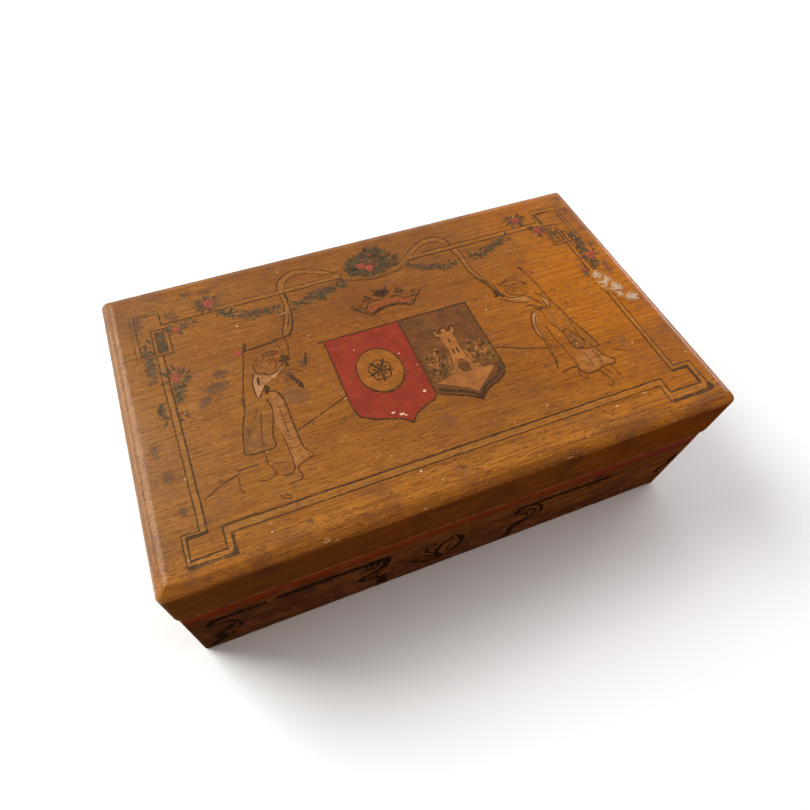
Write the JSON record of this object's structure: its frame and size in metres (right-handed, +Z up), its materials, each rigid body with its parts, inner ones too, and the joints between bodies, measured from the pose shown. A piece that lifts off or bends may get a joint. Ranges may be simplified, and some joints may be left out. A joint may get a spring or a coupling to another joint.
{
  "type": "jack in the box",
  "caption": "Flat varnished wooden box with a rounded, hinged lid, ink-drawn decoration and a spring figure inside that rises as the lid opens.",
  "frame": {"origin": "under the middle of the whole object, hinge knuckles included, on the surface that the box stands on", "axes": "+X to the right along the box's length, -Y towards the front of the box, +Z up"},
  "size_m": [0.22, 0.1352, 0.075],
  "materials": {
    "varnished_wood": "aged honey-brown shellac, glossy and worn, with ink and paint decoration",
    "plain_wood": "unvarnished beech, slightly dirty",
    "lining": "glued-in lining paper, matte",
    "brass": "tarnished satin brass",
    "steel_pin": "dull drawn steel",
    "spring_wire": "dark drawn spring wire",
    "gown_cloth": "faded red cotton",
    "hat_cloth": "faded green felt",
    "ruff_cloth": "yellowed white cotton",
    "painted_skin": "turned wood with satin oil paint",
    "painted_nose": "turned wood with red oil paint"
  },
  "bodies": {
    "box_base": {"base_back_lip": "plain_wood", "base_back_wall": "varnished_wood", "base_bottom_board": "plain_wood", "base_front_lip": "plain_wood", "base_front_wall": "varnished_wood", "base_left_lip": "plain_wood", "base_left_wall": "varnished_wood", "base_right_lip": "plain_wood", "base_right_wall": "varnished_wood", "catch_spring": "brass", "catch_spring_tack_1": "brass", "catch_spring_tack_2": "brass", "hinge_left_base_leaf": "brass", "hinge_left_base_screw_1": "brass", "hinge_left_base_screw_2": "brass", "hinge_left_pin": "steel_pin", "hinge_right_base_leaf": "brass", "hinge_right_base_screw_1": "brass", "hinge_right_base_screw_2": "brass", "hinge_right_pin": "steel_pin", "jack_base_plate": "plain_wood", "jack_base_screw_1": "brass", "jack_base_screw_2": "brass", "jack_gown": "gown_cloth", "jack_spring": "spring_wire", "well_left_partition": "plain_wood", "well_right_partition": "plain_wood"},
    "lid": {"hinge_left_lid_leaf": "brass", "hinge_left_lid_screw_1": "brass", "hinge_left_lid_screw_2": "brass", "hinge_right_lid_leaf": "brass", "hinge_right_lid_screw_1": "brass", "hinge_right_lid_screw_2": "brass", "lid_back_rail": "varnished_wood", "lid_catch_plate": "brass", "lid_catch_plate_tack": "brass", "lid_front_rail": "varnished_wood", "lid_left_rail": "varnished_wood", "lid_lining": "lining", "lid_right_rail": "varnished_wood", "lid_top_panel": "varnished_wood"},
    "jack": {"jack_cap_disc": "plain_wood", "jack_hat": "hat_cloth", "jack_head": "painted_skin", "jack_left_arm": "hat_cloth", "jack_left_bell": "brass", "jack_left_hand": "painted_skin", "jack_neck_peg": "plain_wood", "jack_nose": "painted_nose", "jack_right_arm": "hat_cloth", "jack_right_bell": "brass", "jack_right_hand": "painted_skin", "jack_ruff": "ruff_cloth", "jack_torso": "gown_cloth"}
  },
  "joints": [
    {"name": "lid_open", "type": "hinge", "parent": "box_base", "child": "lid", "pos_m": [0, 0.06565, 0.0498], "axis": [-1, 0, 0], "range_deg": [0, 100]},
    {"name": "jack_rise", "type": "slide", "parent": "box_base", "child": "jack", "axis": [0, 0, 1], "range_m": [0, 0.0873], "deforming": ["jack_spring", "jack_gown"]}
  ],
  "couplings": [
    {"joint": "jack_rise", "follows": "lid_open", "m_per_rad": 0.05}
  ]
}
